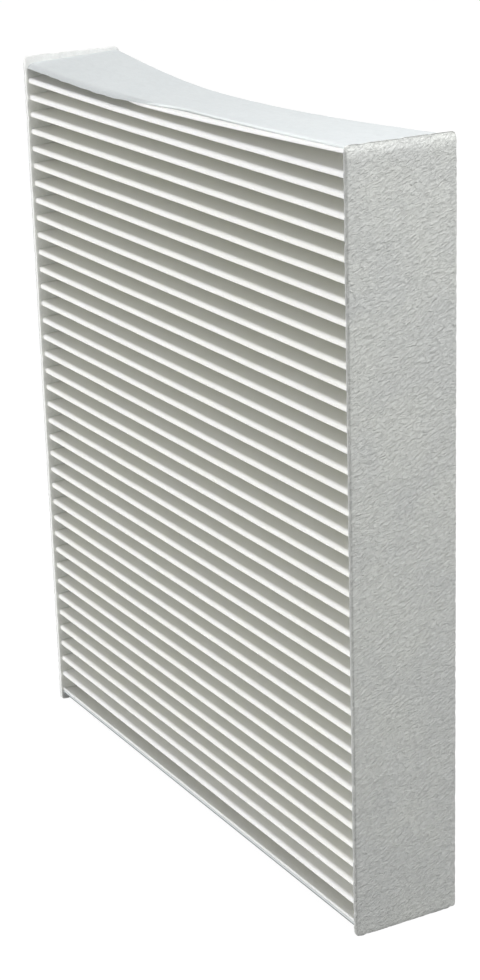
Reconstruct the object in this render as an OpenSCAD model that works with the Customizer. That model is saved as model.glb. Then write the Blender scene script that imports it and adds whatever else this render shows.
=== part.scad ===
// Cabin air filter: one continuous pleated sheet held by felt bands on its four sides.
// X runs across the filter, Y from the inlet side to the outlet side, Z up the stack of pleats.
// The filter stands on the lower edges of its side bands, centred over the origin.

/* [Frame] */
// Width over the two side bands
frame_w = 202; // [150:1:300]
// Depth of the side bands, from the inlet side to the outlet side
frame_d = 35; // [25:0.5:60]
// Thickness of a side band
band_t = 1.5; // [0.8:0.1:3]
// Corner radius of a side band
band_corner_r = 1.5; // [0.5:0.1:4]
// Thickness of the top and bottom strips
strip_t = 0.8; // [0.5:0.1:1.5]

/* [Pleats] */
// Rows of pleats seen from the inlet side, counting the first and last leg
pleat_rows = 39; // [12:1:60]
// Height from one pleat to the next
pleat_pitch = 6; // [5:0.1:12]
// Thickness of the pleated sheet
media_t = 0.85; // [0.5:0.05:1.2]
// Inside radius of a fold
fold_r = 0.15; // [0.1:0.05:0.4]
// How far the folds stand back from the front edge of the side bands
front_set = 1; // [0.5:0.1:4]
// How far the folds stand back from the rear edge of the side bands
back_set = 0.6; // [0.2:0.1:4]

/* [Top edge] */
// Drop of the top strip below the side bands at the rear corners
top_drop_back = 1; // [0.2:0.1:2]
// Drop of the top strip below the left band at its front corner
top_drop_left = 2.4; // [0.2:0.1:3]
// Drop of the top strip below the right band at its front corner
top_drop_right = 0.6; // [0.2:0.1:3]
// Sag of the top strip along its front edge
sag_front = 2.2; // [0:0.1:2.5]
// Sag of the top strip along its rear edge
sag_back = 5.3; // [0:0.1:5.5]
// Place of the deepest sag, as a part of the way from the left band
sag_place = 0.38; // [0.25:0.01:0.75]
// How much lower than even spacing the uppermost pleats are pressed
top_press = 2.7; // [0:0.1:3]
// Number of pleats over which that pressing fades out
press_fade = 4; // [2:0.5:8]
// Gap between the top strip and the sheet under it
seat_gap = 0.15; // [0.1:0.05:0.4]

/* [Top strip edge] */
// How far the strip's front edge stands back from the folds at the left
edge_left = 0; // [-0.5:0.1:2]
// How far it stands back at the middle
edge_middle = 3.6; // [0:0.1:5]
// How far it stands back at the right
edge_right = 1.4; // [0:0.1:5]
// How far the sheet's own cut edge stands back under the strip at the left
cut_back = 3; // [2.6:0.1:5]
// Length of the strip that hangs over the cut edge at the left
lip_l = 2.4; // [1:0.1:2.5]
// How far that lip droops
lip_drop = 0.8; // [0:0.1:1.5]

/* [Bottom edge] */
// Height of the bottom strip over the lower edges of the side bands at the rear
bottom_lift = 0.6; // [0.2:0.1:3]
// Height of the sheet's last cut edge over the lower edges of the side bands
last_edge_z = 4.2; // [3.2:0.1:6]
// How far the bottom strip's front edge stands back from the folds
bottom_edge = 0.4; // [0:0.1:3]

/* [Hidden] */

fold_steps = 4;
corner_fn = 48;
stations = 20;
soft_rows = 3;
soft_power = 2.6;
lip_end = 0.3;
cut_start = 0.42;
setback_start = 0.39;
setback_end = 0.53;
lip_rows = 3;

inner_w = frame_w - 2 * band_t;
front_y = front_set - frame_d / 2;
back_y = frame_d / 2 - back_set;
top_margin = 0.1;
frame_h = last_edge_z + (pleat_rows - 1) * pleat_pitch + top_margin;
last_row = pleat_rows - 1;
out_r = fold_r + media_t;
front_fold_y = front_y + out_r;
back_fold_y = back_y - out_r;

// Height of a row of folds on the inlet side
function row_z(k) = frame_h - top_margin - k * pleat_pitch - top_press * exp(-k / press_fade);

// Smooth step from 0 at a to 1 at b
function ease(a, b, u) =
    let (t = max(0, min(1, (u - a) / (b - a))))
    t * t * (3 - 2 * t);

// Share of the full sag at u, which is 0 at the left band and 1 at the right band
function sag_shape(u) =
    u < sag_place ? sin(90 * u / sag_place) : sin(90 * (1 - u) / (1 - sag_place));

// Share of the sag that reaches row k
function sag_fade(k) = k < soft_rows ? pow(1 - k / soft_rows, soft_power) : 0;

// Upper face of the top strip over the front folds and over the rear folds
function strip_front_z(u) =
    frame_h - top_drop_left * (1 - u) - top_drop_right * u - sag_front * sag_shape(u);
function strip_back_z(u) = frame_h - top_drop_back - sag_back * sag_shape(u);

// Upper face of the sheet's first leg at depth y
function first_leg_z(u, y) =
    let (t = (y - front_y) / (back_fold_y - front_y))
    strip_front_z(u) * (1 - t) + strip_back_z(u) * t - strip_t - seat_gap;

// Centre heights of the folds: k is the row, u the place across the filter
function front_fold_z(k, u) = row_z(k) - sag_front * sag_shape(u) * sag_fade(k);
function back_fold_z(k, u) =
    k == 0 ? first_leg_z(u, back_fold_y) - out_r :
    k == last_row - 1 ? bottom_lift + strip_t + out_r :
    (row_z(k) + row_z(k + 1)) / 2 - sag_back * sag_shape(u) * sag_fade(k);

// Half turns of a fold, from its upper leg to its lower leg, as ribs through the sheet.
// A rib is a pair of points: one on the face that is uppermost on the first leg, one on the other face.
function fold(y, z, turn, r_first, r_other) = [
    for (i = [0:fold_steps])
        let (a = 90 + turn * i / fold_steps)
        [for (r = [r_first, r_other]) [y + r * cos(a), z + r * sin(a)]]
];
function front_fold(k, u) = fold(front_fold_y, front_fold_z(k, u), 180, fold_r, out_r);
function back_fold(k, u) = fold(back_fold_y, back_fold_z(k, u), -180, out_r, fold_r);

// Middle of the straight leg that joins the sagging rows to the even rows
join_y = (front_fold_y + back_fold_y) / 2;
join_z = (back_fold_z(soft_rows - 1, 0) + front_fold_z(soft_rows, 0)) / 2;

// Where the sheet's first cut edge lies under the top strip
function cut_y(u) = front_y + cut_back * (1 - ease(lip_end, cut_start, u));

// Where the top strip's front edge lies
function strip_edge_y(u) =
    let (step = ease(setback_start, setback_end, u))
    let (run = max(0, (u - setback_end) / (1 - setback_end)))
    front_y + edge_left * (1 - step) + edge_middle * step + (edge_right - edge_middle) * run;

function reversed(list) = [for (i = [len(list) - 1:-1:0]) list[i]];
function flat(lists) = [for (list = lists, item = list) item];

// Ribs of the rows from first to last
function rows(first, last, u) =
    flat([for (k = [first:last]) concat(front_fold(k, u), back_fold(k, u))]);

// Upper rows, whose legs sag, from the first cut edge to the join
function sagging_ribs(u) =
    let (y = cut_y(u), z = first_leg_z(u, y))
    concat(
        [[[y, z], [y, z - media_t]]],
        back_fold(0, u),
        rows(1, soft_rows - 1, u),
        [[[join_y, join_z - media_t / 2], [join_y, join_z + media_t / 2]]]
    );

// Even rows, which run straight across, from below the join to the last cut edge
even_ribs = concat(
    rows(soft_rows, last_row - 1, 0),
    [[[front_y, last_edge_z - media_t / 2], [front_y, last_edge_z + media_t / 2]]]
);

// Depths at which the top strip's section has points, close together along its lip
function strip_depths(u) = concat(
    [for (i = [0:lip_rows]) strip_edge_y(u) + lip_l * i / lip_rows],
    [back_fold_y, back_y]
);
function lip_share(u, y) =
    let (t = max(0, 1 - (y - strip_edge_y(u)) / lip_l))
    t * t * (1 - ease(lip_end, cut_start, u));
function strip_low_z(u, y) = first_leg_z(u, y) + seat_gap - lip_drop * lip_share(u, y);
function strip_section(u) = concat(
    [for (y = reversed(strip_depths(u))) [y, strip_low_z(u, y)]],
    [for (y = strip_depths(u)) [y, strip_low_z(u, y) + strip_t]]
);

// Draws an outline given in depth and height as a bar of width w, centred across the filter
module across(w) {
    rotate([90, 0, 90]) linear_extrude(height = w, center = true) children();
}

// Place across the filter of station i
function station_x(i) = inner_w * (i / stations - 0.5);

// The two triangles between points a and b and the points that lie step places after them
function cell(a, b, step) = [[a, b, b + step], [a, b + step, a + step]];

// Those triangles all the way across, where each station holds n points
function cells(a, b, n) = flat([for (i = [0:stations - 1]) cell(a + i * n, b + i * n, n)]);

// The pleated sheet, folded from one length: many stations across the sagging rows, two across the even rows
module pleated_sheet() {
    soft_n = 2 * len(sagging_ribs(0));
    even_n = 2 * len(even_ribs);
    soft_points = [
        for (i = [0:stations], rib = sagging_ribs(i / stations), p = rib) [station_x(i), p[0], p[1]]
    ];
    even_points = [for (i = [0, stations], rib = even_ribs, p = rib) [station_x(i), p[0], p[1]]];

    right_end = stations * soft_n;
    left = right_end + soft_n;
    right = left + even_n;
    join = soft_n - 2;

    soft_faces = flat([for (j = [0:2:soft_n - 4]) concat(cells(j, j + 2, soft_n), cells(j + 3, j + 1, soft_n))]);
    even_faces = flat([for (j = [left:2:right - 4]) concat(cell(j, j + 2, even_n), cell(j + 3, j + 1, even_n))]);
    join_faces = flat([for (i = [0:stations - 1])
        let (a = i * soft_n + join, b = a + soft_n)
        [[a, right, b], [left + 1, a + 1, b + 1]]
    ]);
    join_ends = [[join, left, right], [left + 1, right_end + join + 1, right + 1]];
    cut_faces = concat(cells(1, 0, soft_n), cell(right - 2, right - 1, even_n));
    left_chain = concat([for (j = [0:2:join]) j], [for (j = [left:2:right - 2]) j]);
    right_chain = concat([for (j = [0:2:join]) right_end + j], [for (j = [right:2:right + even_n - 2]) j]);
    left_end = flat([for (i = [0:len(left_chain) - 2])
        let (a = left_chain[i], b = left_chain[i + 1])
        [[a + 1, b + 1, b], [a + 1, b, a]]
    ]);
    right_faces = flat([for (i = [0:len(right_chain) - 2])
        let (a = right_chain[i], b = right_chain[i + 1])
        [[b, b + 1, a + 1], [a, b, a + 1]]
    ]);
    color("ivory") polyhedron(
        concat(soft_points, even_points),
        concat(soft_faces, even_faces, join_faces, join_ends, cut_faces, left_end, right_faces),
        convexity = 10
    );
}

// Outline of a side band, in depth and height
module band_outline() {
    corner_r = min(band_corner_r, frame_d / 2);
    translate([-frame_d / 2, 0]) difference() {
        square([frame_d, frame_h]);
        for (y = [0, 1], z = [0, 1]) translate([y * frame_d, z * frame_h])
            rotate(y == 0 ? (z == 0 ? 0 : -90) : (z == 0 ? 90 : 180)) corner_cut(corner_r);
    }
}

// What a rounded corner takes away from a square one
module corner_cut(r) {
    difference() {
        translate([-r, -r]) square(2 * r);
        translate([r, r]) circle(r, $fn = corner_fn);
    }
}

// Felt band that closes the pleats at one end
module side_band(side) {
    translate([side * (inner_w + band_t) / 2, 0, 0]) across(band_t) band_outline();
}

module left_side_band() {
    color("gainsboro") side_band(-1);
}

module right_side_band() {
    color("gainsboro") side_band(1);
}

// Felt strip laid over the first leg, sagging with it
module top_strip() {
    n = len(strip_section(0));
    points = [
        for (i = [0:stations], p = strip_section(i / stations)) [station_x(i), p[0], p[1]]
    ];
    left_end = [for (j = [1:n / 2 - 1]) each [[n - j, n - 1 - j, j], [n - j, j, j - 1]]];
    right_end = [for (face = left_end) [for (p = reversed(face)) p + stations * n]];
    sides = flat([for (j = [0:n - 1]) cells(j, (j + 1) % n, n)]);
    color("aliceblue") polyhedron(points, concat(left_end, right_end, sides), convexity = 10);
}

// Felt strip under the last leg
module bottom_strip() {
    leg_front_z = last_edge_z - media_t / 2;
    leg_back_z = bottom_lift + strip_t;
    slope = (leg_front_z - leg_back_z) / (back_fold_y - front_y);
    edge_y = front_y + bottom_edge;
    edge_z = leg_front_z - slope * bottom_edge;
    end_z = leg_front_z - slope * (back_y - front_y);
    color("gainsboro") across(inner_w) polygon([
        [edge_y, edge_z],
        [edge_y, edge_z - strip_t],
        [back_y, end_z - strip_t],
        [back_y, end_z]
    ]);
}

pleated_sheet();
left_side_band();
right_side_band();
top_strip();
bottom_strip();
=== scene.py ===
"""Looks of the cabin air filter: one pleated sheet between felt bands, under a sagging felt strip.

The sizes repeat those of the part's source, in millimetres. X runs across the filter, Y from the
inlet side to the outlet side, Z up the stack of pleats. Each piece replaces the solid that it stands for.
"""

import logging
import math
from dataclasses import dataclass, field, replace
from enum import Enum

import bpy
import numpy as np
from mathutils import Matrix, Vector, noise


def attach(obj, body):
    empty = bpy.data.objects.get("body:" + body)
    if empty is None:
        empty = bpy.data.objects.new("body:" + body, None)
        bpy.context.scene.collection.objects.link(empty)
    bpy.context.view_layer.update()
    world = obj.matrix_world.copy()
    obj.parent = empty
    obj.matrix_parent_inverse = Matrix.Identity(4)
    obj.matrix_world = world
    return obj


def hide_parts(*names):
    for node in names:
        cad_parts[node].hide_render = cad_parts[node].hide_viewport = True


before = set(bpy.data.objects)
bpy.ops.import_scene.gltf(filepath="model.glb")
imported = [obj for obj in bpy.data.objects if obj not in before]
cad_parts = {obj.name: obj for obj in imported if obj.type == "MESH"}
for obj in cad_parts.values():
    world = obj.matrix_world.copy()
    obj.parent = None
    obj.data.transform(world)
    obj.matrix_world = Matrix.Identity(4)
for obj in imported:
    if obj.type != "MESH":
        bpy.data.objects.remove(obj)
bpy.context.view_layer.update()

BODY = "root"
MM = 0.001
Colour = tuple[float, float, float]

log = logging.getLogger("cabin_filter")


class BandSide(Enum):
    """The end of the pleats that a side band closes."""

    LEFT = -1
    RIGHT = 1


@dataclass(frozen=True)
class FilterSizes:
    """Sizes of the whole filter in millimetres, as in the part's source but for bottom_edge."""

    frame_w: float = 202.0
    frame_d: float = 35.0
    band_t: float = 1.5
    band_corner_r: float = 1.5
    strip_t: float = 0.8
    rows: int = 39
    pitch: float = 6.0
    media_t: float = 0.85
    fold_r: float = 0.15
    front_set: float = 1.0
    back_set: float = 0.6
    drop_back: float = 1.0
    drop_left: float = 2.4
    drop_right: float = 0.6
    sag_front: float = 2.2
    sag_back: float = 5.3
    sag_place: float = 0.38
    press: float = 2.7
    press_fade: float = 4.0
    seat_gap: float = 0.15
    edge_left: float = 0.0
    edge_middle: float = 3.6
    edge_right: float = 1.4
    cut_back: float = 3.0
    lip_l: float = 2.4
    lip_drop: float = 0.8
    bottom_lift: float = 0.6
    last_edge_z: float = 4.2
    bottom_edge: float = 0.0
    top_margin: float = 0.1
    soft_rows: float = 3.0
    soft_power: float = 2.6
    lip_end: float = 0.3
    cut_start: float = 0.42
    setback_start: float = 0.39
    setback_end: float = 0.53

    @property
    def inner_w(self) -> float:
        """Width between the side bands."""
        return self.frame_w - 2 * self.band_t

    @property
    def front_y(self) -> float:
        """Depth of the outermost point of the front folds."""
        return self.front_set - self.frame_d / 2

    @property
    def back_y(self) -> float:
        """Depth of the outermost point of the rear folds."""
        return self.frame_d / 2 - self.back_set

    @property
    def frame_h(self) -> float:
        """Height of the side bands."""
        return self.last_edge_z + (self.rows - 1) * self.pitch + self.top_margin

    @property
    def out_r(self) -> float:
        """Outside radius of a fold."""
        return self.fold_r + self.media_t

    @property
    def back_fold_y(self) -> float:
        """Depth of the centres of the rear folds."""
        return self.back_y - self.out_r

    def ease(self, start: float, end: float, u: float) -> float:
        """Smooth step from 0 at start to 1 at end."""
        t = min(1.0, max(0.0, (u - start) / (end - start)))
        return t * t * (3 - 2 * t)

    def sag_shape(self, u: float) -> float:
        """Share of the full sag at u, which is 0 at the left band and 1 at the right one."""
        return math.sin(math.pi / 2 * min(u / self.sag_place, (1 - u) / (1 - self.sag_place)))

    def strip_edge_y(self, u: float) -> float:
        """Depth of the top strip's front edge."""
        step = self.ease(self.setback_start, self.setback_end, u)
        run = max(0.0, (u - self.setback_end) / (1 - self.setback_end))
        setback = self.edge_left * (1 - step) + self.edge_middle * step
        return self.front_y + setback + (self.edge_right - self.edge_middle) * run

    def strip_low_z(self, u: float, y: float) -> float:
        """Height of the top strip's lower face.

        Args:
            u: Place across the filter, from 0 to 1.
            y: Depth in millimetres.

        Returns:
            The height in millimetres, with the droop of the lip at the left.
        """
        sag = self.sag_shape(u)
        front = self.frame_h - self.drop_left * (1 - u) - self.drop_right * u - self.sag_front * sag
        back = self.frame_h - self.drop_back - self.sag_back * sag
        t = (y - self.front_y) / (self.back_fold_y - self.front_y)
        share = max(0.0, 1 - (y - self.strip_edge_y(u)) / self.lip_l)
        lip = share * share * (1 - self.ease(self.lip_end, self.cut_start, u))
        return front * (1 - t) + back * t - self.strip_t - self.lip_drop * lip


SIZES = FilterSizes()


class Rule:
    """Arithmetic on a number in a node tree: each operator adds one Math node."""

    def __init__(self, tree: bpy.types.NodeTree, source: bpy.types.NodeSocket) -> None:
        """Takes the tree and the socket that gives the number."""
        self.tree = tree
        self.source = source

    def step(self, operation: str, *others: "Rule | float") -> "Rule":
        """Adds one Math node.

        Args:
            operation: Blender's name of the operation.
            others: The further operands, each a Rule or a plain number.

        Returns:
            The result as a new Rule.
        """
        node = self.tree.nodes.new("ShaderNodeMath")
        node.operation = operation
        for socket, value in zip(node.inputs, (self, *others)):
            if isinstance(value, Rule):
                self.tree.links.new(value.source, socket)
            else:
                socket.default_value = value
        return Rule(self.tree, node.outputs[0])

    def __add__(self, other: "Rule | float") -> "Rule":
        """Sum."""
        return self.step("ADD", other)

    __radd__ = __add__

    def __sub__(self, other: "Rule | float") -> "Rule":
        """Difference."""
        return self.step("SUBTRACT", other)

    def __rsub__(self, other: float) -> "Rule":
        """Difference from a plain number."""
        return self.step("MULTIPLY_ADD", -1.0, other)

    def __mul__(self, other: "Rule | float") -> "Rule":
        """Product."""
        return self.step("MULTIPLY", other)

    __rmul__ = __mul__

    def __truediv__(self, other: "Rule | float") -> "Rule":
        """Quotient."""
        return self.step("DIVIDE", other)

    def mixed(self, other: "Rule | float", share: "Rule") -> "Rule":
        """This number where share is 0, the other where it is 1."""
        return self * (1.0 - share) + share * other

    def eased(self, start: float, end: float) -> "Rule":
        """Smooth step from 0 at start to 1 at end."""
        t = ((self - start) / (end - start)).step("MAXIMUM", 0.0).step("MINIMUM", 1.0)
        return t * t * (3.0 - t * 2.0)


class PleatTree:
    """The rule by which a flat grid is folded into the pleated sheet, as Geometry Nodes."""

    FOLD_STEPS = 8
    LEG_STEPS = 3

    def __init__(self, sizes: FilterSizes, material: bpy.types.Material) -> None:
        """Takes the filter's sizes and the sheet's material, and builds the tree."""
        self.sizes = sizes
        self.tree = bpy.data.node_groups.new("fold_the_sheet", "GeometryNodeTree")
        self.inputs: dict[str, str] = {}
        self.values: dict[str, float | int] = {}
        self.entry = self.tree.nodes.new("NodeGroupInput")
        self.u: Rule | None = None
        self._name_inputs()
        self._build(material)

    def _name_inputs(self) -> None:
        """Gives the tree its named inputs and notes the value of each."""
        s = self.sizes
        per_fold = self.FOLD_STEPS + self.LEG_STEPS
        ribs = 2 * (s.rows - 1) * per_fold - self.FOLD_STEPS + 1
        self.tree.interface.new_socket("Geometry", in_out="OUTPUT", socket_type="NodeSocketGeometry")
        wanted = {
            "Stations": 50,
            "Ribs": ribs,
            "Width": s.inner_w,
            "Pitch": s.pitch,
            "Top Row": s.frame_h - s.top_margin,
            "Middle Radius": s.fold_r + s.media_t / 2,
            "Press": s.press,
            "Press Fade": s.press_fade,
            "Front Sag": s.sag_front,
            "Rear Sag": s.sag_back,
            "Tremor": 0.18,
            "Fold Squareness": 3.0,
            "Seed": 4,
        }
        for name, value in wanted.items():
            kind = "NodeSocketInt" if isinstance(value, int) else "NodeSocketFloat"
            socket = self.tree.interface.new_socket(name, in_out="INPUT", socket_type=kind)
            self.inputs[name] = socket.identifier
            self.values[name] = value

    def given(self, name: str) -> Rule:
        """The named input as a Rule."""
        return Rule(self.tree, self.entry.outputs[name])

    def sag_shape(self) -> Rule:
        """Share of the full sag at the place across the filter."""
        place = self.sizes.sag_place
        side = (self.u / place).step("MINIMUM", (1.0 - self.u) / (1 - place))
        return (side * (math.pi / 2)).step("SINE")

    def tremor(self, fold: Rule, offset: float) -> Rule:
        """Slight unevenness of a fold along its length.

        Args:
            fold: Number of the fold, counted from the top cut edge.
            offset: Distance in the noise between one use and the next.

        Returns:
            Displacement in millimetres, 0 on the legs that lie on the felt strips.
        """
        tree = self.tree
        place = tree.nodes.new("ShaderNodeCombineXYZ")
        tree.links.new((self.u * 9.0).source, place.inputs[0])
        tree.links.new((fold * 3.7 + offset).source, place.inputs[1])
        tree.links.new(self.given("Seed").source, place.inputs[2])
        waves = tree.nodes.new("ShaderNodeTexNoise")
        waves.inputs["Scale"].default_value = 1.0
        waves.inputs["Detail"].default_value = 2.0
        tree.links.new(place.outputs[0], waves.inputs["Vector"])
        last_free = 2.0 * (self.sizes.rows - 1) - 1.5
        free = fold.step("GREATER_THAN", 1.5) * fold.step("LESS_THAN", last_free)
        return (Rule(tree, waves.outputs[0]) - 0.5) * free * self.given("Tremor")

    def centre(self, fold: Rule) -> tuple[Rule, Rule]:
        """Centre of a fold.

        Args:
            fold: Number of the fold, counted from the top cut edge, which is 0.

        Returns:
            Its depth and its height in millimetres.
        """
        s = self.sizes
        at_back = fold.step("MODULO", 2.0)
        row = (fold - at_back) / 2.0
        is_first = fold.step("LESS_THAN", 0.5)
        is_second = fold.step("LESS_THAN", 1.5) - is_first
        last = 2.0 * (s.rows - 1)
        is_last = fold.step("GREATER_THAN", last - 0.5)
        is_rest = fold.step("GREATER_THAN", last - 1.5) - is_last
        radius = self.given("Middle Radius")
        shape = self.sag_shape()

        cut_y = s.front_y + s.cut_back * (1.0 - self.u.eased(s.lip_end, s.cut_start))
        y = (at_back * (s.back_fold_y - s.front_y - s.out_r)) + (s.front_y + s.out_r)
        y = y + self.tremor(fold, 0.0) * 0.5
        y = y.mixed(cut_y, is_first).mixed(s.front_y, is_last)

        press = (fold / (self.given("Press Fade") * -2.0)).step("EXPONENT") * self.given("Press")
        even = self.given("Top Row") - fold * self.given("Pitch") / 2.0 - press
        fade = (1.0 - row / s.soft_rows).step("MAXIMUM", 0.0).step("POWER", s.soft_power)
        depth = self.given("Front Sag").mixed(self.given("Rear Sag"), at_back)
        z = even - depth * shape * fade + self.tremor(fold, 50.0)

        front_z = s.frame_h - s.drop_left * (1.0 - self.u) - s.drop_right * self.u - self.given("Front Sag") * shape
        back_z = (s.frame_h - s.drop_back) - self.given("Rear Sag") * shape
        seat = s.strip_t + s.seat_gap
        along = (cut_y - s.front_y) / (s.back_fold_y - s.front_y)
        first_z = front_z.mixed(back_z, along) - (seat + s.media_t / 2) + radius
        z = z.mixed(first_z, is_first).mixed(back_z - (seat + s.out_r), is_second)
        z = z.mixed(s.last_edge_z - radius, is_last).mixed(s.bottom_lift + s.strip_t + s.out_r, is_rest)
        return y, z

    def _build(self, material: bpy.types.Material) -> None:
        """Lays the grid, folds it and gives it its material."""
        tree, steps = self.tree, self.FOLD_STEPS
        per_fold = steps + self.LEG_STEPS
        ribs = self.given("Ribs")
        grid = tree.nodes.new("GeometryNodeMeshGrid")
        grid.inputs["Size X"].default_value = 1.0
        tree.links.new((ribs - 1.0).source, grid.inputs["Size Y"])
        tree.links.new((self.given("Stations") + 1.0).source, grid.inputs["Vertices X"])
        tree.links.new(ribs.source, grid.inputs["Vertices Y"])
        where = tree.nodes.new("GeometryNodeInputPosition")
        parts = tree.nodes.new("ShaderNodeSeparateXYZ")
        tree.links.new(where.outputs[0], parts.inputs[0])
        self.u = Rule(tree, parts.outputs[0]) + 0.5
        rib = (Rule(tree, parts.outputs[1]) + (ribs - 1.0) / 2.0).step("ROUND") + float(steps)

        fold = (rib / float(per_fold) + 0.0001).step("FLOOR")
        place = rib - fold * float(per_fold)
        turn = (place / float(steps)).step("MINIMUM", 1.0) * math.pi
        leg = (place - float(steps)).step("MAXIMUM", 0.0) / float(self.LEG_STEPS)
        side = fold.step("MODULO", 2.0) * 2.0 - 1.0
        radius = self.given("Middle Radius")
        y, z = self.centre(fold)
        next_y, next_z = self.centre(fold + 1.0)
        power = 2.0 * self.given("Fold Squareness").step("POWER", -1.0)
        out, up = turn.step("SINE").step("MAXIMUM", 0.0), turn.step("COSINE")
        up = up.step("SIGN") * up.step("ABSOLUTE").step("POWER", power)
        y = (y + side * radius * out.step("POWER", power)).mixed(next_y, leg)
        z = (z + radius * up).mixed(next_z + radius, leg)

        point = tree.nodes.new("ShaderNodeCombineXYZ")
        for socket, rule in zip(point.inputs, ((self.u - 0.5) * self.given("Width"), y, z)):
            tree.links.new((rule * MM).source, socket)
        folded = tree.nodes.new("GeometryNodeSetPosition")
        tree.links.new(grid.outputs["Mesh"], folded.inputs["Geometry"])
        tree.links.new(point.outputs[0], folded.inputs["Position"])
        whole = tree.nodes.new("GeometryNodeRealizeInstances")
        tree.links.new(folded.outputs[0], whole.inputs[0])
        dressed = tree.nodes.new("GeometryNodeSetMaterial")
        dressed.inputs["Material"].default_value = material
        tree.links.new(whole.outputs[0], dressed.inputs["Geometry"])
        leave = tree.nodes.new("NodeGroupOutput")
        tree.links.new(dressed.outputs[0], leave.inputs[0])

    def fold(self, piece: bpy.types.Object) -> None:
        """Puts the tree on a piece, with every input set by its identifier."""
        modifier = piece.modifiers.new("fold", "NODES")
        modifier.node_group = self.tree
        for name, value in self.values.items():
            modifier[self.inputs[name]] = value


class Slab:
    """A soft strip of even thickness, with closed, softly rounded edges."""

    RIM_STEPS = (0.0, 0.08, 0.3, 0.65, 1.0)
    FLAT_SHARE = 0.49

    def __init__(self, thickness: float, edge: float, squareness: float = 4.0) -> None:
        """Takes the thickness and the width of the rounding at the rim, in millimetres."""
        self.thickness = thickness
        self.edge = edge
        self.squareness = squareness

    def lines(self, length: float, gap: float) -> np.ndarray:
        """Grid lines along one side, close together at both rims.

        Args:
            length: Length of the side.
            gap: Wanted distance between lines away from the rims.

        Returns:
            Distances from one end, in millimetres.
        """
        rim = self.edge * np.array(self.RIM_STEPS)
        middle = np.linspace(rim[-1], length - rim[-1], max(3, round(length / gap)))
        return np.concatenate([rim[:-1], middle, (length - rim[:-1])[::-1]])

    def half(self, to_rim: np.ndarray) -> np.ndarray:
        """Half the thickness at each distance from the rim."""
        inside = np.clip(1 - to_rim / self.edge, 0, 1)
        return self.thickness / 2 * (1 - inside**self.squareness) ** (1 / self.squareness)

    def mesh(self, name: str, upper: np.ndarray, lower: np.ndarray) -> bpy.types.Mesh:
        """Closes two grids of points, which share their rim, into one mesh.

        Args:
            name: Name of the mesh.
            upper: Points of the outer face, as rows by columns by 3, in millimetres.
            lower: Points of the inner face, on the same grid.

        Returns:
            A closed mesh in metres, with its normals out.
        """
        rows, columns = upper.shape[:2]
        number = np.arange(rows * columns).reshape(rows, columns)
        inner = number + rows * columns
        inner[0], inner[-1] = number[0], number[-1]
        inner[:, 0], inner[:, -1] = number[:, 0], number[:, -1]

        def quads(grid: np.ndarray, flip: bool) -> np.ndarray:
            """Four-cornered faces of one grid."""
            corners = [grid[:-1, :-1], grid[1:, :-1], grid[1:, 1:], grid[:-1, 1:]]
            return np.stack(corners[::-1] if flip else corners, axis=-1).reshape(-1, 4)

        faces = np.concatenate([quads(number, False), quads(inner, True)])
        points = np.concatenate([upper.reshape(-1, 3), lower.reshape(-1, 3)]) * MM
        used, flat = np.unique(faces, return_inverse=True)
        mesh = bpy.data.meshes.new(name)
        mesh.from_pydata(points[used].tolist(), [], flat.reshape(-1, 4).tolist())
        mesh.validate()
        return mesh

    @staticmethod
    def dress(mesh: bpy.types.Mesh, outer: bpy.types.Material, inner: bpy.types.Material) -> None:
        """Gives the outer face and the inner face a material each."""
        mesh.materials.append(outer)
        mesh.materials.append(inner)
        faces = len(mesh.polygons)
        mesh.polygons.foreach_set("material_index", [int(i >= faces // 2) for i in range(faces)])


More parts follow.
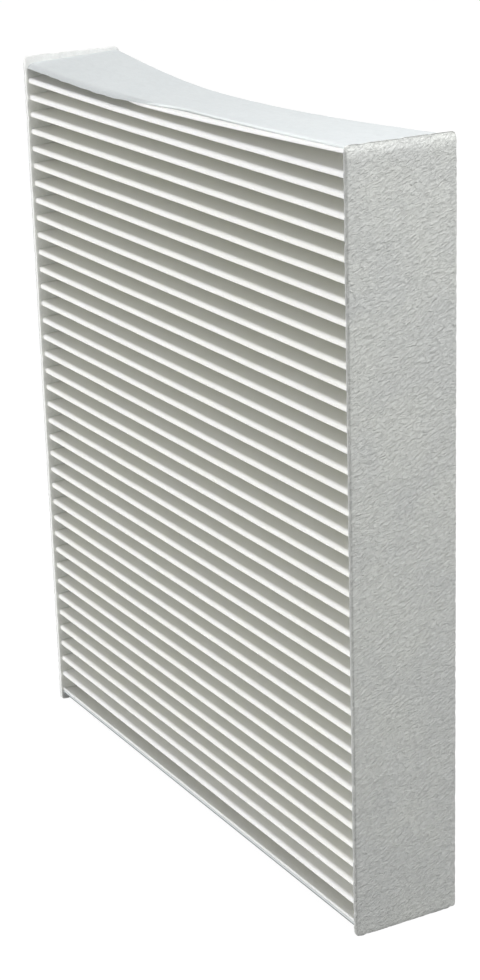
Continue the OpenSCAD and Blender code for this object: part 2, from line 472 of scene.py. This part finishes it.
@dataclass(frozen=True)
class FeltFinish:
    """Needled felt with short bonded creases and a fine nap."""

    name: str
    pale: Colour
    deep: Colour
    crease_mm: float
    crease_depth: float
    turn_deg: Colour
    stretch: Colour
    crease_pit_shade: float = 0.92
    nap_depth: float = 0.04
    edge_shade: float = 1.0
    edge_from: float = -17.5
    edge_to: float = -16.6
    foot_shade: float = 1.0
    painted_top_light: float = 1.0
    head_from: float = 228.0
    head_to: float = 231.5
    foot_from: float = 0.0
    foot_to: float = 1.4
    shades: str = "MULTIPLY"

    def material(self) -> bpy.types.Material:
        """Builds the felt's material on Object coordinates."""
        material = bpy.data.materials.new(self.name)
        material.use_nodes = True
        nodes, links = material.node_tree.nodes, material.node_tree.links
        shader = nodes["Principled BSDF"]
        shader.inputs["Roughness"].default_value = 0.95
        shader.inputs["Specular IOR Level"].default_value = 0.15
        shader.inputs["Sheen Weight"].default_value = 0.08
        place = nodes.new("ShaderNodeTexCoord")
        turned = nodes.new("ShaderNodeMapping")
        turned.inputs["Rotation"].default_value = [math.radians(a) for a in self.turn_deg]
        along = nodes.new("ShaderNodeMapping")
        along.inputs["Scale"].default_value = self.stretch
        links.new(place.outputs["Object"], turned.inputs[0])
        links.new(turned.outputs[0], along.inputs[0])

        def waves(
            size_mm: float, detail: float, bend: float, source: bpy.types.NodeSocket
        ) -> bpy.types.NodeSocket:
            """Noise whose features are about size_mm wide."""
            node = nodes.new("ShaderNodeTexNoise")
            node.inputs["Scale"].default_value = 0.5 / (size_mm * MM)
            node.inputs["Detail"].default_value = detail
            node.inputs["Distortion"].default_value = bend
            links.new(source, node.inputs["Vector"])
            return node.outputs["Fac"]

        creases = waves(self.crease_mm, 4.0, 0.9, along.outputs[0])
        nap = waves(0.22, 2.0, 0.0, place.outputs["Object"])
        patches = waves(9.0, 3.0, 0.4, place.outputs["Object"])
        ramp = nodes.new("ShaderNodeValToRGB")
        ramp.color_ramp.elements[0].position, ramp.color_ramp.elements[1].position = 0.38, 0.64
        ramp.color_ramp.elements[0].color = (*self.deep, 1)
        ramp.color_ramp.elements[1].color = (*self.pale, 1)
        links.new(patches, ramp.inputs[0])
        # Painted shade: the colour darkens in the low parts of the crease pattern, the same pattern that drives the
        # bump.
        crease_pit_shade = nodes.new("ShaderNodeMapRange")
        crease_pit_shade.inputs["From Min"].default_value, crease_pit_shade.inputs["From Max"].default_value = 0.3, 0.62
        crease_pit_shade.inputs["To Min"].default_value, crease_pit_shade.inputs["To Max"].default_value = self.crease_pit_shade, 1.0
        links.new(creases, crease_pit_shade.inputs["Value"])
        tint = nodes.new("ShaderNodeMix")
        tint.data_type, tint.blend_type = "RGBA", "MULTIPLY"
        tint.inputs["Factor"].default_value = 1.0
        links.new(ramp.outputs["Color"], tint.inputs["A"])
        links.new(crease_pit_shade.outputs["Result"], tint.inputs["B"])
        front = nodes.new("ShaderNodeSeparateXYZ")
        links.new(place.outputs["Object"], front.inputs[0])
        # Painted shade: the colour darkens towards the front edge, from edge_from to edge_to.
        shade = nodes.new("ShaderNodeMapRange")
        shade.interpolation_type = "SMOOTHSTEP"
        shade.inputs["From Min"].default_value = self.edge_from * MM
        shade.inputs["From Max"].default_value = self.edge_to * MM
        shade.inputs["To Min"].default_value = self.edge_shade
        links.new(front.outputs["Y"], shade.inputs["Value"])
        # Darker towards the bottom edge, from foot_from to foot_to; on the bottom strip this is painted shade on
        # the lower half of its front rim.
        foot = nodes.new("ShaderNodeMapRange")
        foot.interpolation_type = "SMOOTHSTEP"
        foot.inputs["From Min"].default_value = self.foot_from * MM
        foot.inputs["From Max"].default_value = self.foot_to * MM
        foot.inputs["To Min"].default_value = self.foot_shade
        links.new(front.outputs["Z"], foot.inputs["Value"])
        both = nodes.new("ShaderNodeMath")
        both.operation = self.shades
        links.new(shade.outputs["Result"], both.inputs[0])
        links.new(foot.outputs["Result"], both.inputs[1])
        # Multiplies in the painted edge shade, the darkening at the bottom and the painted top light.
        painted_shade_and_light = nodes.new("ShaderNodeMix")
        painted_shade_and_light.data_type, painted_shade_and_light.blend_type = "RGBA", "MULTIPLY"
        painted_shade_and_light.inputs["Factor"].default_value = 1.0
        links.new(tint.outputs["Result"], painted_shade_and_light.inputs["A"])
        # Painted light: the colour brightens over the top few millimetres of the band, from head_from to head_to.
        top_light_ramp = nodes.new("ShaderNodeMapRange")
        top_light_ramp.interpolation_type = "SMOOTHSTEP"
        top_light_ramp.inputs["From Min"].default_value = self.head_from * MM
        top_light_ramp.inputs["From Max"].default_value = self.head_to * MM
        top_light_ramp.inputs["To Min"].default_value = 1.0
        top_light_ramp.inputs["To Max"].default_value = self.painted_top_light
        links.new(front.outputs["Z"], top_light_ramp.inputs["Value"])
        every = nodes.new("ShaderNodeMath")
        every.operation = "MULTIPLY"
        links.new(both.outputs[0], every.inputs[0])
        links.new(top_light_ramp.outputs["Result"], every.inputs[1])
        links.new(every.outputs[0], painted_shade_and_light.inputs["B"])
        links.new(painted_shade_and_light.outputs["Result"], shader.inputs["Base Color"])
        fine = nodes.new("ShaderNodeBump")
        fine.inputs["Distance"].default_value = self.nap_depth * MM
        links.new(nap, fine.inputs["Height"])
        coarse = nodes.new("ShaderNodeBump")
        coarse.inputs["Distance"].default_value = self.crease_depth * MM
        links.new(creases, coarse.inputs["Height"])
        links.new(fine.outputs["Normal"], coarse.inputs["Normal"])
        links.new(coarse.outputs["Normal"], shader.inputs["Normal"])
        return material


@dataclass(frozen=True)
class SheetFinish:
    """Cream-white nonwoven filter sheet: matt, with fine fibres and cloudy, with painted light that makes its top
    and bottom rows paler.
    """

    name: str = "cream_nonwoven"
    pale: Colour = (0.945, 0.947, 0.87)
    deep: Colour = (0.915, 0.919, 0.84)
    # Painted light: the top and bottom rows of folds get this paler colour, in place of light that the thin sheet
    # lets into the outer valleys.
    end: Colour = (0.98, 0.98, 0.905)
    middle_z: float = 0.116
    painted_light_from: float = 0.09
    painted_light_to: float = 0.113

    def material(self) -> bpy.types.Material:
        """Builds the sheet's material on Object coordinates."""
        material = bpy.data.materials.new(self.name)
        material.use_nodes = True
        nodes, links = material.node_tree.nodes, material.node_tree.links
        shader = nodes["Principled BSDF"]
        shader.inputs["Roughness"].default_value = 0.9
        shader.inputs["Specular IOR Level"].default_value = 0.2
        shader.inputs["Subsurface Weight"].default_value = 1.0
        shader.inputs["Subsurface Scale"].default_value = 1.5 * MM
        shader.inputs["Subsurface Radius"].default_value = (1.0, 1.0, 0.95)
        place = nodes.new("ShaderNodeTexCoord")
        fibres = nodes.new("ShaderNodeTexNoise")
        fibres.inputs["Scale"].default_value = 1400.0
        fibres.inputs["Detail"].default_value = 3.0
        clouds = nodes.new("ShaderNodeTexNoise")
        clouds.inputs["Scale"].default_value = 90.0
        clouds.inputs["Detail"].default_value = 4.0
        for node in (fibres, clouds):
            links.new(place.outputs["Object"], node.inputs["Vector"])
        ramp = nodes.new("ShaderNodeValToRGB")
        ramp.color_ramp.elements[0].position, ramp.color_ramp.elements[1].position = 0.35, 0.65
        ramp.color_ramp.elements[0].color = (*self.deep, 1)
        ramp.color_ramp.elements[1].color = (*self.pale, 1)
        links.new(clouds.outputs["Fac"], ramp.inputs[0])
        height = nodes.new("ShaderNodeSeparateXYZ")
        links.new(place.outputs["Object"], height.inputs[0])
        # Painted light: towards the top and the bottom of the stack the colour blends to the paler end colour.
        painted_light_share = nodes.new("ShaderNodeMapRange")
        painted_light_share.interpolation_type = "SMOOTHSTEP"
        painted_light_share.inputs["From Min"].default_value = self.painted_light_from
        painted_light_share.inputs["From Max"].default_value = self.painted_light_to
        away = nodes.new("ShaderNodeMath")
        away.operation = "SUBTRACT"
        away.inputs[1].default_value = self.middle_z
        links.new(height.outputs["Z"], away.inputs[0])
        apart = nodes.new("ShaderNodeMath")
        apart.operation = "ABSOLUTE"
        links.new(away.outputs[0], apart.inputs[0])
        links.new(apart.outputs[0], painted_light_share.inputs["Value"])
        tone = nodes.new("ShaderNodeMix")
        tone.data_type = "RGBA"
        links.new(painted_light_share.outputs["Result"], tone.inputs["Factor"])
        links.new(ramp.outputs["Color"], tone.inputs["A"])
        tone.inputs["B"].default_value = (*self.end, 1)
        links.new(tone.outputs["Result"], shader.inputs["Base Color"])
        bump = nodes.new("ShaderNodeBump")
        bump.inputs["Distance"].default_value = 0.03 * MM
        links.new(fibres.outputs["Fac"], bump.inputs["Height"])
        links.new(bump.outputs["Normal"], shader.inputs["Normal"])
        return material


def add_piece(name: str, mesh: bpy.types.Mesh) -> bpy.types.Object:
    """Adds an object at the origin that shows a mesh."""
    piece = bpy.data.objects.new(name, mesh)
    bpy.context.scene.collection.objects.link(piece)
    return piece


def bake_modifiers(piece: bpy.types.Object) -> None:
    """Turns a piece with its modifiers into a plain smooth mesh."""
    depsgraph = bpy.context.evaluated_depsgraph_get()
    mesh = bpy.data.meshes.new_from_object(piece.evaluated_get(depsgraph), depsgraph=depsgraph)
    piece.modifiers.clear()
    piece.data = mesh


def smooth(mesh: bpy.types.Mesh, sharp_deg: float) -> None:
    """Shades a mesh smooth, with edges sharp above an angle."""
    mesh.shade_smooth()
    mesh.set_sharp_from_angle(angle=math.radians(sharp_deg))


def unevenness(point: tuple[float, float, float], size: float, seed: float) -> float:
    """Smooth noise from about -1 to 1 whose features are about size wide."""
    x, y, z = (c / size + seed for c in point)
    return noise.fractal(Vector((x, y, z)), 1.0, 2.0, 3, noise_basis="PERLIN_ORIGINAL")


@dataclass
class PleatedSheet:
    """The folded filter sheet, from its top cut edge to its bottom one."""

    sizes: FilterSizes = field(default_factory=lambda: SIZES)
    finish: SheetFinish = field(default_factory=SheetFinish)

    def flat_length(self, mesh: bpy.types.Mesh) -> float:
        """Length of the sheet before folding, from its area and width, in metres."""
        corners = np.empty(len(mesh.polygons), dtype=np.float32)
        mesh.polygons.foreach_get("area", corners)
        return float(corners.sum()) / 2 / (self.sizes.inner_w * MM)

    def build(self) -> bpy.types.Object:
        piece = add_piece("folded_filter_sheet", bpy.data.meshes.new("folded_filter_sheet"))
        PleatTree(self.sizes, self.finish.material()).fold(piece)
        body = piece.modifiers.new("thickness", "SOLIDIFY")
        body.thickness = self.sizes.media_t * MM
        body.offset = 0.0
        body.use_even_offset = True
        bake_modifiers(piece)
        smooth(piece.data, 50)
        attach(piece, BODY)
        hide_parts("pleated_sheet")
        length = self.flat_length(piece.data)
        log.info("folded sheet: %d faces, %.2f m long when flat", len(piece.data.polygons), length)
        return piece


@dataclass
class SideBand:
    """Felt band that closes the pleats at one end."""

    side: BandSide
    finish: FeltFinish
    lining: FeltFinish
    sizes: FilterSizes = field(default_factory=lambda: SIZES)
    gap: float = 0.8
    edge: float = 0.45
    swell: float = 0.10
    lean: float = 1.1
    lean_h: float = 4.2
    fray: float = 0.35
    fray_in: float = 2.0

    def outline(self, a: np.ndarray, b: np.ndarray) -> tuple[np.ndarray, np.ndarray]:
        """Rounds the corners of a rectangular grid.

        Args:
            a: Depth of each point of the grid, from -half to half the depth.
            b: Height of each point, from 0 to the band's height.

        Returns:
            The depths and heights on the rounded outline.
        """
        s, r = self.sizes, self.sizes.band_corner_r
        middle = s.frame_h / 2
        across = np.clip((np.abs(a) - (s.frame_d / 2 - r)) / r, 0, 1)
        up = np.clip((np.abs(b - middle) - (middle - r)) / r, 0, 1)
        new_across = across * np.sqrt(1 - up**2 / 2)
        new_up = up * np.sqrt(1 - across**2 / 2)
        depth = a - np.sign(a) * (across - new_across) * r
        return depth, b - np.sign(b - middle) * (up - new_up) * r

    @staticmethod
    def noise_on(y: np.ndarray, z: np.ndarray, layer: float, size: float, seed: float) -> np.ndarray:
        """Smooth noise at each point of a grid."""
        rows = zip(y, z)
        return np.array([[unevenness((p, q, layer), size, seed) for p, q in zip(*row)] for row in rows])

    def build(self) -> bpy.types.Object:
        s = self.sizes
        name = f"{self.side.name.lower()}_felt_band"
        slab = Slab(s.band_t, self.edge)
        depth = slab.lines(s.frame_d, self.gap) - s.frame_d / 2
        height = slab.lines(s.frame_h, self.gap)
        a, b = np.meshgrid(depth, height, indexing="ij")
        to_rim = np.minimum(s.frame_d / 2 - np.abs(a), np.minimum(b, s.frame_h - b))
        half = slab.half(np.maximum(to_rim, 0))
        y, z = self.outline(a, b)
        seed = 3.0 + self.side.value
        frayed = self.noise_on(y, z, 9, 1.7, seed)
        frayed = self.fray * np.clip(frayed, 0, 1) * np.clip(1 - to_rim / self.fray_in, 0, 1)
        y = y - np.sign(y) * frayed * (np.abs(a) > s.frame_d / 2 - self.fray_in)
        at_end = np.abs(b - s.frame_h / 2) > s.frame_h / 2 - self.fray_in
        z = z - np.sign(z - s.frame_h / 2) * frayed * at_end
        swell = self.noise_on(y, z, 0, 5.0, seed)
        x = self.side.value * (s.inner_w + s.band_t) / 2
        out = self.side.value
        sunk = self.swell * (0.5 - 0.5 * np.clip(swell, -1, 1)) * (half > s.band_t * slab.FLAT_SHARE)
        lean = self.lean * np.clip(1 - (s.frame_h - z) / self.lean_h, 0, 1) ** 2
        sunk = sunk + lean * half / (s.band_t / 2)
        upper = np.stack([x + out * (half - sunk), y, z], axis=-1)
        lower = np.stack([x - out * half, y, z], axis=-1)
        mesh = slab.mesh(name, upper, lower)
        if out < 0:
            mesh.flip_normals()
        piece = add_piece(name, mesh)
        slab.dress(mesh, self.finish.material(), self.lining.material())
        smooth(mesh, 60)
        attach(piece, BODY)
        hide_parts(f"{self.side.name.lower()}_side_band")
        log.info("%s: %d faces", name, len(mesh.polygons))
        return piece


@dataclass
class TopStrip:
    """Felt strip over the first leg, sagging with it, with a drooping lip at the left."""

    finish: FeltFinish
    sizes: FilterSizes = field(default_factory=lambda: SIZES)
    edge: float = 1.1
    side_edge: float = 0.2
    ripple: float = 0.16
    settle: float = 0.14
    settle_l: float = 5.0

    def build(self) -> bpy.types.Object:
        s = self.sizes
        slab = Slab(s.strip_t, self.edge, 2.0)
        across = slab.lines(s.inner_w, 1.3)
        nominal = s.back_y - s.front_y
        depth = slab.lines(nominal, 0.9)
        upper = np.empty((len(across), len(depth), 3))
        lower = np.empty_like(upper)
        for i, x in enumerate(across):
            u = x / s.inner_w
            start = s.strip_edge_y(u) + 0.25 * unevenness((x, 0, 0), 6.0, 1.0) * s.ease(0.0, 0.1, u)
            for j, d in enumerate(depth):
                y = start + d * (s.back_y - start) / nominal
                settled = self.settle * max(0.0, 1 - d / self.settle_l) ** 2
                middle = s.strip_low_z(u, y) + s.strip_t / 2 - settled
                to_side = min(x, s.inner_w - x) * self.edge / self.side_edge
                half = float(slab.half(np.array(min(to_side, d, nominal - d))))
                rough = s.ease(0.36, 0.6, u) * (half > s.strip_t * slab.FLAT_SHARE)
                wave = self.ripple * rough * unevenness((x, 1.6 * y, 0), 7.0, 5.0)
                low = middle - s.strip_t / 2 if d < nominal / 2 else middle - half
                upper[i, j] = (x - s.inner_w / 2, y, low + 2 * half + wave)
                lower[i, j] = (x - s.inner_w / 2, y, low)
        mesh = slab.mesh("top_felt_strip", upper, lower)
        piece = add_piece("top_felt_strip", mesh)
        mesh.materials.append(self.finish.material())
        smooth(mesh, 60)
        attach(piece, BODY)
        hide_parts("top_strip")
        log.info("top strip: %d faces", len(mesh.polygons))
        return piece


@dataclass
class BottomStrip:
    """Felt strip under the last leg."""

    finish: FeltFinish
    sizes: FilterSizes = field(default_factory=lambda: SIZES)
    edge: float = 0.2
    droop: float = 0.45
    droop_l: float = 1.4

    def build(self) -> bpy.types.Object:
        s = self.sizes
        slab = Slab(s.strip_t, self.edge)
        front_z = s.last_edge_z - s.media_t / 2
        slope = (front_z - s.bottom_lift - s.strip_t) / (s.back_fold_y - s.front_y)
        start = s.front_y + s.bottom_edge
        across = slab.lines(s.inner_w, 4.0)
        depth = slab.lines(s.back_y - start, 2.5)
        x, d = np.meshgrid(across, depth, indexing="ij")
        y = start + d
        half = slab.half(np.minimum(np.minimum(x, s.inner_w - x), np.minimum(d, s.back_y - start - d)))
        middle = front_z - slope * (y - s.front_y) - s.strip_t / 2
        middle = middle - self.droop * np.clip(1 - d / self.droop_l, 0, 1) ** 2
        upper = np.stack([x - s.inner_w / 2, y, middle + half], axis=-1)
        lower = np.stack([x - s.inner_w / 2, y, middle - half], axis=-1)
        mesh = slab.mesh("bottom_felt_strip", upper, lower)
        piece = add_piece("bottom_felt_strip", mesh)
        mesh.materials.append(self.finish.material())
        smooth(mesh, 60)
        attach(piece, BODY)
        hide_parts("bottom_strip")
        log.info("bottom strip: %d faces", len(mesh.polygons))
        return piece


@dataclass
class Studio:
    """Plain pale floor, soft lamps, white surroundings and the photograph's camera."""

    eye: Colour = (0.6061, -0.3302, 0.3441)
    yaw_deg: float = 61.1243
    pitch_deg: float = 19.0571
    roll_deg: float = -1.7156
    lens_mm: float = 84.87
    sky: float = 0.37
    shadow_share: float = 0.2
    glow: float = 1.22

    def camera(self) -> None:
        """Places the camera where the photograph was taken from."""
        yaw, pitch, roll = (math.radians(a) for a in (self.yaw_deg, self.pitch_deg, self.roll_deg))
        ahead = Vector((-math.sin(yaw) * math.cos(pitch), math.cos(yaw) * math.cos(pitch), -math.sin(pitch)))
        right = Vector((math.cos(yaw), math.sin(yaw), 0))
        up = right.cross(ahead)
        level = math.cos(roll) * right + math.sin(roll) * up
        upright = math.cos(roll) * up - math.sin(roll) * right
        data = bpy.data.cameras.new("camera")
        data.lens = self.lens_mm
        data.sensor_width = 36.0
        data.clip_start = 0.01
        camera = bpy.data.objects.new("camera", data)
        turn = Matrix((level, upright, -ahead)).transposed().to_4x4()
        camera.matrix_world = Matrix.Translation(self.eye) @ turn
        bpy.context.scene.collection.objects.link(camera)
        bpy.context.scene.camera = camera

    def lamp(
        self, name: str, place: Colour, aim: Colour, size: tuple[float, float], level: float
    ) -> None:
        """Adds a rectangular soft lamp.

        Args:
            name: Name of the lamp.
            place: Where it hangs, in metres.
            aim: The point that it faces.
            size: Its width and its height.
            level: Brightness that it gives a white surface that faces it at that point.
        """
        data = bpy.data.lights.new(name, "AREA")
        data.shape = "RECTANGLE"
        data.size, data.size_y = size
        toward = Vector(aim) - Vector(place)
        data.energy = level * math.pi**2 * toward.length_squared
        lamp = bpy.data.objects.new(name, data)
        lamp.location = place
        lamp.rotation_euler = toward.to_track_quat("-Z", "Y").to_euler()
        bpy.context.scene.collection.objects.link(lamp)

    def seen(self, nodes: bpy.types.Nodes, links: bpy.types.NodeLinks) -> bpy.types.NodeSocket:
        """1 for what the camera sees directly, in gloss or through glass, and 0 for other light."""
        path = nodes.new("ShaderNodeLightPath")
        total = path.outputs["Is Camera Ray"]
        for name in ("Is Glossy Ray", "Is Transmission Ray"):
            add = nodes.new("ShaderNodeMath")
            add.operation = "MAXIMUM"
            links.new(total, add.inputs[0])
            links.new(path.outputs[name], add.inputs[1])
            total = add.outputs[0]
        return total

    def surroundings(self) -> None:
        """Makes the world white to the camera and soft grey to the object."""
        world = bpy.data.worlds.new("surroundings")
        bpy.context.scene.world = world
        world.use_nodes = True
        nodes, links = world.node_tree.nodes, world.node_tree.links
        ground = nodes["Background"]
        ground.inputs["Color"].default_value = (1, 1, 1, 1)
        level = nodes.new("ShaderNodeMapRange")
        level.inputs["To Min"].default_value = self.sky
        level.inputs["To Max"].default_value = 1.0
        links.new(self.seen(nodes, links), level.inputs["Value"])
        links.new(level.outputs["Result"], ground.inputs["Strength"])

    def floor(self) -> None:
        """Lays the floor, which looks white and keeps a faint shadow of the object."""
        mesh = bpy.data.meshes.new("floor")
        reach = 8.0
        level = -0.0002
        signs = ((-1, -1), (1, -1), (1, 1), (-1, 1))
        corners = [(reach * x, reach * y, level) for x, y in signs]
        mesh.from_pydata(corners, [], [(0, 1, 2, 3)])
        floor = add_piece("floor", mesh)
        material = bpy.data.materials.new("floor")
        material.use_nodes = True
        nodes, links = material.node_tree.nodes, material.node_tree.links
        shader = nodes["Principled BSDF"]
        shader.inputs["Base Color"].default_value = (0.5, 0.5, 0.5, 1)
        shader.inputs["Roughness"].default_value = 1.0
        shader.inputs["Specular IOR Level"].default_value = 0.0
        glow = nodes.new("ShaderNodeEmission")
        glow.inputs["Strength"].default_value = self.glow
        share = nodes.new("ShaderNodeMath")
        share.operation = "MULTIPLY"
        share.inputs[1].default_value = 1 - self.shadow_share
        links.new(self.seen(nodes, links), share.inputs[0])
        mix = nodes.new("ShaderNodeMixShader")
        links.new(share.outputs[0], mix.inputs[0])
        links.new(shader.outputs[0], mix.inputs[1])
        links.new(glow.outputs[0], mix.inputs[2])
        links.new(mix.outputs[0], nodes["Material Output"].inputs["Surface"])
        mesh.materials.append(material)

    def build(self) -> None:
        """Sets up the whole studio."""
        self.camera()
        self.surroundings()
        self.floor()
        self.lamp("front_softbox", (-0.35, -2.2, 0.1), (0.0, 0.0, 0.12), (1.9, 0.24), 0.87)
        self.lamp("overhead_softbox", (0.0, 0.2, 0.9), (0.0, 0.0, 0.2), (0.4, 0.4), 0.36)
        self.lamp("side_softbox", (0.42, 0.08, 0.5), (0.1, 0.0, 0.15), (0.25, 0.25), 0.6)
        bpy.context.scene.view_settings.view_transform = "Standard"


def main() -> None:
    """Builds the filter and its studio."""
    side_felt = FeltFinish(
        name="side_felt",
        pale=(0.80, 0.815, 0.78),
        deep=(0.76, 0.775, 0.755),
        crease_mm=0.36,
        crease_depth=0.95,
        crease_pit_shade=0.8,
        foot_shade=0.78,
        painted_top_light=1.2,
        turn_deg=(-30, 0, 0),
        stretch=(1, 0.45, 1),
    )
    strip_felt = FeltFinish(
        name="strip_felt",
        pale=(0.79, 0.826, 0.834),
        deep=(0.775, 0.812, 0.822),
        crease_mm=0.9,
        crease_depth=0.1,
        crease_pit_shade=0.965,
        # Painted shade: the strip darkens towards its front edge, most at the drooping lip on the left.
        edge_shade=0.7,
        edge_from=-16.5,
        edge_to=-13.8,
        nap_depth=0.015,
        turn_deg=(0, 0, 15),
        stretch=(0.5, 1, 1),
    )
    PleatedSheet().build()
    lining = FeltFinish(
        name="side_felt_lining",
        pale=(0.95, 0.955, 0.94),
        deep=(0.92, 0.93, 0.915),
        crease_mm=0.9,
        crease_depth=0.05,
        turn_deg=(0, 0, 0),
        stretch=(1, 1, 1),
    )
    SideBand(BandSide.LEFT, side_felt, lining).build()
    # Painted shade: the right band's felt and lining darken towards their front edge.
    shaded_edge_felt = replace(side_felt, name="side_felt_painted_edge_shade", edge_shade=0.62)
    shaded_edge_lining = replace(lining, name="side_felt_lining_painted_edge_shade", edge_shade=0.5)
    SideBand(BandSide.RIGHT, shaded_edge_felt, shaded_edge_lining).build()
    TopStrip(strip_felt).build()
    # Painted shade: the bottom strip's front rim is darkened on its lower half, as the shade under the last fold.
    under_felt = replace(
        strip_felt,
        name="strip_felt_painted_edge_shade",
        edge_shade=0.35,
        edge_from=-16.2,
        edge_to=-15.2,
        foot_shade=0.3,
        foot_from=2.95,
        foot_to=3.3,
        shades="MAXIMUM",
    )
    BottomStrip(under_felt).build()
    Studio().build()


if __name__ == "__main__":
    logging.basicConfig(level=logging.INFO, format="%(message)s")
    main()
